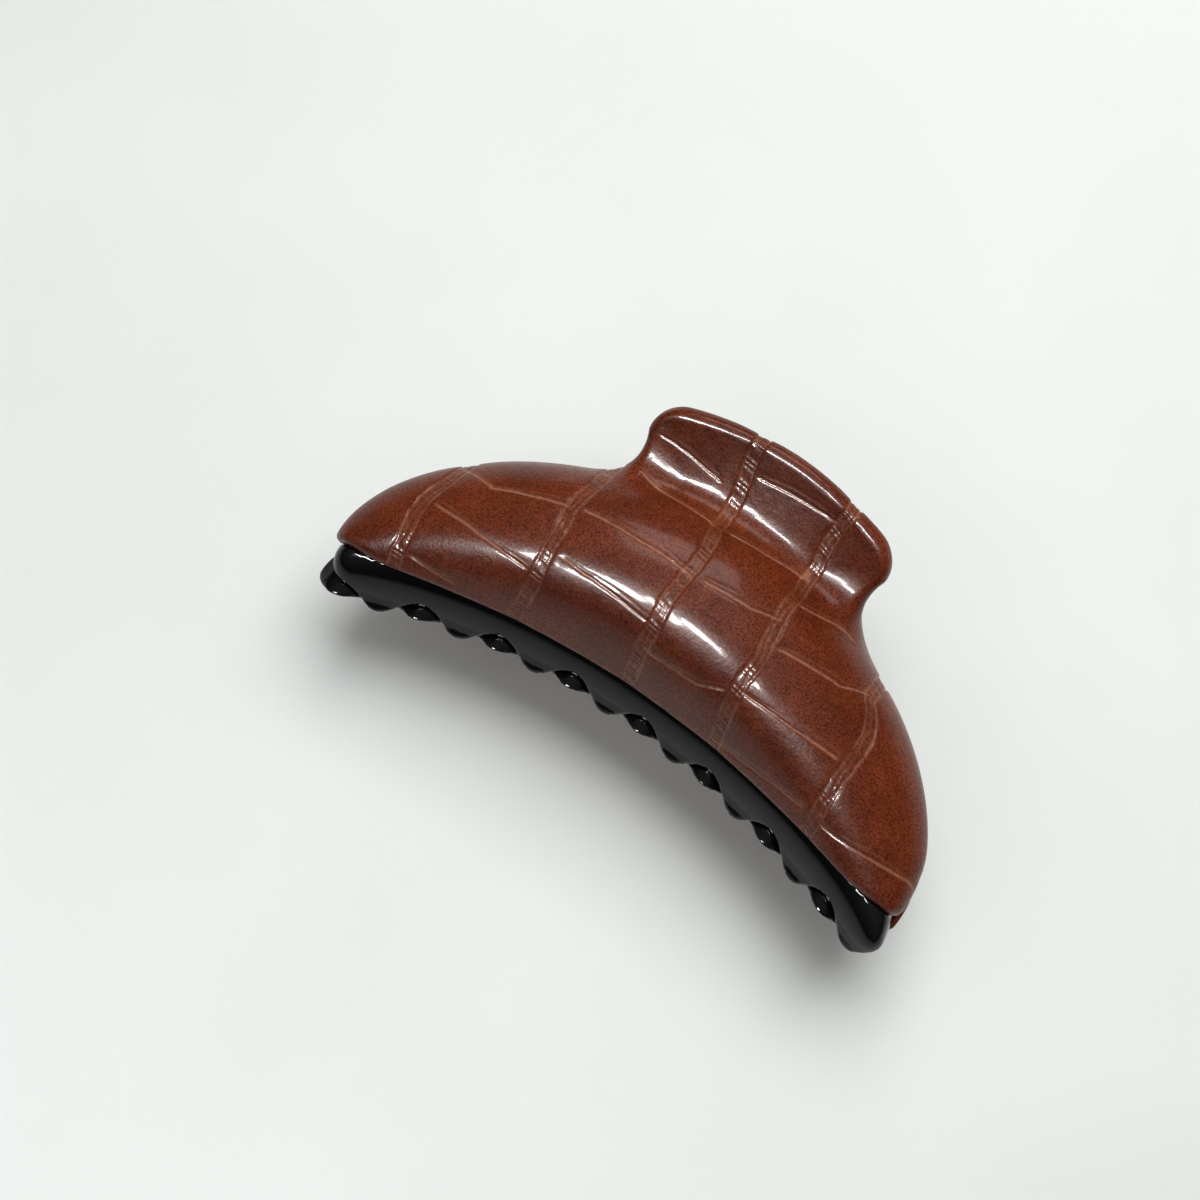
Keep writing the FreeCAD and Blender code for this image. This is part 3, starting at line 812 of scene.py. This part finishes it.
def leather_material():
    """Glossy embossed brown leather: dark speckle, cloudy tone, paler worn lines."""
    n = Nodes("embossed_leather")
    speckle = n.noise(0.33, detail=3.0, rough=0.65, distortion=0.2)
    cloud = n.noise(9.0, detail=3.0, rough=0.55)
    blotch = n.noise(2.6, detail=4.0, rough=0.6)
    base = n.ramp(speckle, (0.38, srgb(76, 26, 10)), (0.5, srgb(116, 50, 23)),
                  (0.62, srgb(133, 62, 31)))
    tone = n.ramp(cloud, (0.3, srgb(205, 195, 190)), (0.7, srgb(255, 255, 255)))
    base = n.mix(0.8, base, tone, "MULTIPLY")
    tint = n.ramp(blotch, (0.35, srgb(220, 205, 200)), (0.65, srgb(255, 255, 255)))
    base = n.mix(0.6, base, tint, "MULTIPLY")
    worn = n.attribute("worn")
    patches = n.scale(n.noise(0.9, detail=3.0), 0.3, 0.6, 0.55, 1.0)
    broken = n.math("MULTIPLY", worn, patches)
    base = n.mix(n.math("MULTIPLY", broken, 0.75), base, srgb(186, 128, 100))
    n.set(Base_Color=base, Roughness=n.scale(n.noise(1.3, detail=4.0), 0.3, 0.7, 0.29, 0.4),
          Specular_IOR_Level=0.1, Coat_Weight=0.22, Coat_Roughness=0.12)
    pores = n.noise(0.42, detail=4.0, rough=0.65)
    dimples = n.math("MULTIPLY", n.noise(1.6, detail=3.0), 1.2)
    n.bump(n.math("ADD", pores, dimples), 0.05)
    return n.material


def gloss_plastic():
    """Polished black moulding."""
    n = Nodes("gloss_black_plastic")
    haze = n.noise(6.0, detail=4.0)
    n.set(Base_Color=n.ramp(n.noise(14.0), (0.3, srgb(9, 9, 10)), (0.7, srgb(15, 15, 16))),
          Roughness=n.scale(haze, 0.3, 0.7, 0.07, 0.13), Specular_IOR_Level=0.25)
    n.bump(n.noise(8.0, detail=2.0), 0.02)
    return n.material


def matte_plastic():
    """Unpolished black plate under the leather."""
    n = Nodes("matte_black_plastic")
    n.set(Base_Color=n.ramp(n.noise(3.0), (0.3, srgb(20, 20, 21)), (0.7, srgb(31, 30, 30))),
          Roughness=n.scale(n.noise(0.8, detail=3.0), 0.3, 0.7, 0.5, 0.65))
    n.bump(n.noise(0.35, detail=3.0), 0.01)
    return n.material


def nickel():
    """Bright nickel-plated pin."""
    n = Nodes("nickel_plate")
    n.set(Base_Color=n.ramp(n.noise(1.2), (0.3, srgb(178, 174, 166)), (0.7, srgb(205, 202, 196))),
          Metallic=1.0, Roughness=n.scale(n.noise(0.5, detail=3.0), 0.3, 0.7, 0.16, 0.28))
    n.bump(n.noise(0.3, detail=2.0), 0.004)
    return n.material


def spring_wire():
    """Drawn steel wire with a faint oil darkening."""
    n = Nodes("spring_wire")
    n.set(Base_Color=n.ramp(n.noise(2.0, detail=4.0), (0.3, srgb(120, 118, 116)),
                            (0.7, srgb(168, 166, 163))),
          Metallic=1.0, Roughness=n.scale(n.noise(0.6, detail=3.0), 0.3, 0.7, 0.24, 0.38))
    n.bump(n.noise(0.25, detail=2.0), 0.004)
    return n.material


# ---------------------------------------------------------------- pin, cap and spring

PIN_R = 1.0
PIN_HALF = 13.0                 # from the clip's middle to the pin's head
HEAD_R, HEAD_T, HEAD_EDGE = 1.9, 0.8, 0.12
CAP_R, CAP_T = 1.9, 1.3
CAP_INNER_EDGE, CAP_OUTER_EDGE = 0.15, 0.3
TAIL_CHAMFER = 0.25
PIN_TAIL = 1.0                  # the pin ends this far inside the cap
WIRE_R = 0.6
COIL_R = 2.55                   # to the middle of the wire
COIL_HALF = 6.2
COIL_TURNS = 8.5
TURN_STEPS = 40                 # points on a turn of the coil
LEG_STEPS = 24                  # and on a leg
BEND_PASSES = 6                 # rounds of smoothing that soften the bends
LEG_TIP_H, LEG_TIP_D = 37.0, 12.6


def ring_solid(name, rings):
    """A mesh object through rings of points in clip coordinates, closed at both ends."""
    around = len(rings[0])
    faces = []
    for i in range(len(rings) - 1):
        a, b = i * around, (i + 1) * around
        for j in range(around):
            k = (j + 1) % around
            faces.append((a + j, a + k, b + k, b + j))
    last = (len(rings) - 1) * around
    faces += [tuple(range(around)), tuple(range(last, last + around))]
    mesh = new_mesh(name, np.concatenate(rings), faces)
    work = bmesh.new()
    work.from_mesh(mesh)
    bmesh.ops.recalc_face_normals(work, faces=work.faces)
    work.to_mesh(mesh)
    work.free()
    return new_object(name, mesh)


def lathe(name, profile, segments=72):
    """A turned piece on the hinge axis from (x, radius) points."""
    turn = np.linspace(0, 2 * math.pi, segments, endpoint=False)
    return ring_solid(name, [np.stack([np.full(segments, x), PIN_H + r * np.cos(turn),
                                       r * np.sin(turn)], 1) for x, r in profile])


def arc(cx, cr, radius, a0, a1, steps):
    """Profile points on a circle about (cx, cr), from angle a0 to a1 in degrees."""
    return [(cx + radius * math.cos(math.radians(a)), cr + radius * math.sin(math.radians(a)))
            for a in np.linspace(a0, a1, steps)]


def pin_profile():
    """Domed head at -x, plain shank, chamfered tail."""
    head = -PIN_HALF
    dome = [(head - HEAD_T * math.cos(a), max(0.02, HEAD_R * math.sin(a) ** 0.8))
            for a in np.linspace(0.02, math.pi / 2 - 0.1, 12)]
    rim = arc(head - HEAD_EDGE, HEAD_R - HEAD_EDGE, HEAD_EDGE, 90, 0, 5)
    tail = PIN_HALF + PIN_TAIL
    return dome + rim + [(head, PIN_R + 0.02), (head + 0.05, PIN_R),
                         (tail - TAIL_CHAMFER, PIN_R), (tail, PIN_R - TAIL_CHAMFER)]


def cap_profile():
    """A push-on cap with softened edges and a small recess in its face."""
    end = PIN_HALF + CAP_T
    inner, outer = CAP_INNER_EDGE, CAP_OUTER_EDGE
    return (arc(PIN_HALF + inner, CAP_R - inner, inner, 180, 90, 5)
            + arc(end - outer, CAP_R - outer, outer, 90, 0, 7)
            + [(end, CAP_R - 0.9), (end - 0.12, CAP_R - 1.05), (end - 0.14, 0.02)])


def tube(name, path, radius, segments=20):
    """A round wire along a path, with rounded ends."""
    tangent = np.gradient(path, axis=0)
    tangent /= np.linalg.norm(tangent, axis=1, keepdims=True)
    side = np.cross(tangent[0], [1.0, 0.3, 0.2])
    side /= np.linalg.norm(side)
    turn = np.linspace(0, 2 * math.pi, segments, endpoint=False)
    rings = []
    for i, point in enumerate(path):
        side = side - tangent[i] * np.dot(side, tangent[i])
        side /= np.linalg.norm(side)
        other = np.cross(tangent[i], side)
        spoke = np.cos(turn)[:, None] * side + np.sin(turn)[:, None] * other
        rings.append(point + radius * spoke)
    bulge = 0.5 * radius

    def end_ring(end, way, a):
        rim = (rings[end] - path[end]) * math.sin(a)
        return path[end] + rim + way * tangent[end] * bulge * math.cos(a)

    first = [end_ring(0, -1, a) for a in (0.2, 0.8)]
    last = [end_ring(-1, 1, a) for a in (0.8, 0.2)]
    return ring_solid(name, first + rings + last)


def spring_path():
    """Leg, coil and leg of the torsion spring, the bends smoothed."""
    turns = np.linspace(0, 2 * math.pi * COIL_TURNS, int(COIL_TURNS * TURN_STEPS))
    coil = np.stack([COIL_HALF - 2 * COIL_HALF * turns / turns[-1],
                     PIN_H - COIL_R * np.sin(turns), COIL_R * np.cos(turns)], 1)
    lean = np.array([0.0, LEG_TIP_H - PIN_H, LEG_TIP_D - COIL_R])
    leg = [coil[0] + lean * t for t in np.linspace(1.0, 0.03, LEG_STEPS)]
    back = lean * np.array([1, 1, -1])
    other = [coil[-1] + back * t for t in np.linspace(0.03, 1.0, LEG_STEPS)]
    path = np.array(leg + list(coil) + other)
    for _ in range(BEND_PASSES):
        path[1:-1] = path[1:-1] * 0.5 + (path[:-2] + path[2:]) * 0.25
    return path


# ---------------------------------------------------------------- the pieces

STEP = 0.45          # mesh cell of the mouldings and the leather
PLATE_STEP = 0.6
PLATE_INSET = 1.4               # the plate stops this far inside the leather's edge
PLATE_HALF = 46.5
# the meshed box, in x, h and d
BOX_LOW = (-HALF_LENGTH - 1.1, -EDGE_SAG - 3.0, -4.0)
BOX_HIGH = (HALF_LENGTH + 1.1, HANDLE_TIP_H + 4.0, BULGE + 1.5)


def plate_field(x, h, d):
    """The thin plate between leather and moulding, stopping inside the turned edge."""
    out = envelope(x, h, d)
    layer = np.maximum(out + SKIN + GAP, -(out + SKIN + PLATE))
    layer = np.maximum(layer, PLATE_INSET - leather_inset(x, h, d))
    layer = np.maximum(layer, behind_rim(x, h, d, 0.25))
    layer = np.maximum(layer, -handle_field(x, h, d, inset=-0.3) - 0.3)
    return np.maximum(layer, np.abs(x) - PLATE_HALF)


def finish_piece(obj, material, body, slot, *nodes):
    """Material, body and replaced nodes of a piece; its slot is not used."""
    obj.data.materials.append(material)
    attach(obj, body)
    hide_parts(*nodes)
    return obj


def build_halves():
    """Moulding, plate and leather of both halves."""
    leather, gloss, matte = leather_material(), gloss_plastic(), matte_plastic()
    jaw_points, jaw_faces = surface_nets(jaw_field, BOX_LOW, BOX_HIGH, STEP)
    plate_points, plate_faces = surface_nets(plate_field, BOX_LOW, BOX_HIGH, PLATE_STEP)
    skin_points, skin_faces = surface_nets(skin_field, BOX_LOW, BOX_HIGH, STEP)
    for side, turned, shift in (("upper", False, 0.0), ("lower", True, LOWER_SHIFT)):
        body = side + "_half"
        jaw = make_mesh(side + "_jaw_moulding", jaw_points, jaw_faces, turned, jaw_field)
        finish_piece(jaw, gloss, body, "jaw_plastic", side + "_jaw")
        plate = make_mesh(side + "_plate", plate_points, plate_faces, turned)
        finish_piece(plate, matte, body, "plate_plastic", side + "_cover_plate")
        skin = leather_mesh(side + "_leather", skin_points, skin_faces, shift, turned)
        finish_piece(skin, leather, body, "embossed_leather", side + "_leather_skin")


def build_hinge():
    """Pin, cap and spring."""
    bright, wire = nickel(), spring_wire()
    finish_piece(lathe("pin", pin_profile()), bright, "lower_half", "pin_steel", "hinge_pin")
    finish_piece(lathe("cap", cap_profile()), bright, "lower_half", "pin_steel", "pin_cap")
    spring = tube("spring", spring_path(), WIRE_R)
    spring.data.materials.append(wire)
    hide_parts("torsion_spring")
    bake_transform(spring)


# ---------------------------------------------------------------- stage

VIEW_TILT, VIEW_TURN, VIEW_ROLL = 14.3, 6.0, 34.0   # degrees from straight above the clip
VIEW_DISTANCE = 446.5           # mm
VIEW_AT_H = 15.2                # mm
AIM_LEFT, AIM_UP = 13.0, 5.24   # mm
LENS, SENSOR = 84.7, 36.0       # mm
FLOOR_SIZE = 2.4                # m
SKY = (0.1, 0.9, 0.04, 0.3)     # sines of elevation, and the light's strength there
SKY_COLOUR = (0.94, 0.97, 0.95, 1.0)


def view_axes():
    """Right, up and back of the camera in the frame's axes."""
    t, s, r = (math.radians(a) for a in (VIEW_TILT, VIEW_TURN, VIEW_ROLL))
    back = Vector((math.sin(s), -math.sin(t) * math.cos(s), math.cos(t) * math.cos(s)))
    level = Vector((math.cos(s), math.sin(t) * math.sin(s), -math.cos(t) * math.sin(s)))
    rise = Vector((0.0, math.cos(t), math.sin(t)))
    right = math.cos(r) * level + math.sin(r) * rise
    up = -math.sin(r) * level + math.cos(r) * rise
    return right, up, back


def build_camera():
    """The camera stands off the clip's middle and looks a little left of it and above it."""
    right, up, back = view_axes()
    middle = Vector((0.0, VIEW_AT_H + Y_SHIFT, MID_Z))
    place = middle + VIEW_DISTANCE * back
    aim = middle - AIM_LEFT * right + AIM_UP * up
    z = (place - aim).normalized()
    x = up.cross(z).normalized()
    camera = new_object("camera", bpy.data.cameras.new("camera"))
    camera.data.lens = LENS
    camera.data.sensor_width = SENSOR
    camera.data.clip_start = 0.01
    turn = Matrix((x, z.cross(x), z)).transposed().to_4x4()
    camera.matrix_world = Matrix.Translation(place * MM) @ turn
    bpy.context.scene.camera = camera


def area_light(name, toward, distance, size, power, glints=True, lights=True):
    """A rectangular light that looks at the clip from a direction, distances in metres.

    Without glints it isn't mirrored in glossy surfaces; without lights it is only mirrored.
    """
    light = bpy.data.lights.new(name, "AREA")
    light.shape = "RECTANGLE"
    light.size, light.size_y = size
    light.energy = power
    obj = new_object(name, light)
    obj.location = Vector(toward).normalized() * distance
    obj.rotation_mode = "QUATERNION"
    obj.rotation_quaternion = Vector(toward).to_track_quat("Z", "Y")
    obj.visible_glossy = glints
    obj.visible_diffuse = lights


def build_world():
    """Surroundings that are light overhead and dark towards the horizon, as in a room."""
    world = bpy.data.worlds.new("world")
    world.use_nodes = True
    tree = world.node_tree
    coords = tree.nodes.new("ShaderNodeTexCoord")
    split = tree.nodes.new("ShaderNodeSeparateXYZ")
    ramp = tree.nodes.new("ShaderNodeMapRange")
    for key, v in zip(("From Min", "From Max", "To Min", "To Max"), SKY):
        ramp.inputs[key].default_value = v
    background = tree.nodes["Background"]
    background.inputs["Color"].default_value = SKY_COLOUR
    tree.links.new(coords.outputs["Generated"], split.inputs[0])
    tree.links.new(split.outputs["Z"], ramp.inputs["Value"])
    tree.links.new(ramp.outputs["Result"], background.inputs["Strength"])
    bpy.context.scene.world = world


def build_floor():
    """The pale floor that the clip lies on."""
    half = FLOOR_SIZE / 2
    mesh = bpy.data.meshes.new("floor")
    corners = [(-half, -half, 0), (half, -half, 0), (half, half, 0), (-half, half, 0)]
    mesh.from_pydata(corners, [], [(0, 1, 2, 3)])
    floor = new_object("floor", mesh)
    n = Nodes("pale_floor")
    n.set(Base_Color=n.ramp(n.noise(60.0), (0.3, srgb(233, 237, 234)), (0.7, srgb(238, 241, 238))),
          Roughness=0.55, Specular_IOR_Level=0.3)
    n.bump(n.noise(0.5, detail=3.0), 0.004)
    mesh.materials.append(n.material)


def build_lights():
    """Soft overhead light, and a window and two lamps that are only seen mirrored."""
    right, up, _ = view_axes()
    overhead = Vector((0.0, 0.0, 1.0))
    area_light("key", up * 0.32 + right * 0.18 + overhead * 0.93,
               distance=0.7, size=(0.5, 0.5), power=4.4, glints=False)
    area_light("window", up * 0.8 + right * 0.25 + overhead * 0.6,
               distance=0.6, size=(0.34, 0.26), power=1.3, lights=False)
    area_light("lamp", (-0.25, -0.5, 0.83),
               distance=0.6, size=(0.14, 0.1), power=8.5, lights=False)
    area_light("second_lamp", (-0.03, -0.4, 0.91),
               distance=0.6, size=(0.13, 0.07), power=5.0, lights=False)
    build_world()


build_halves()
build_hinge()
build_floor()
build_lights()
build_camera()
bpy.context.scene.view_settings.view_transform = "Standard"
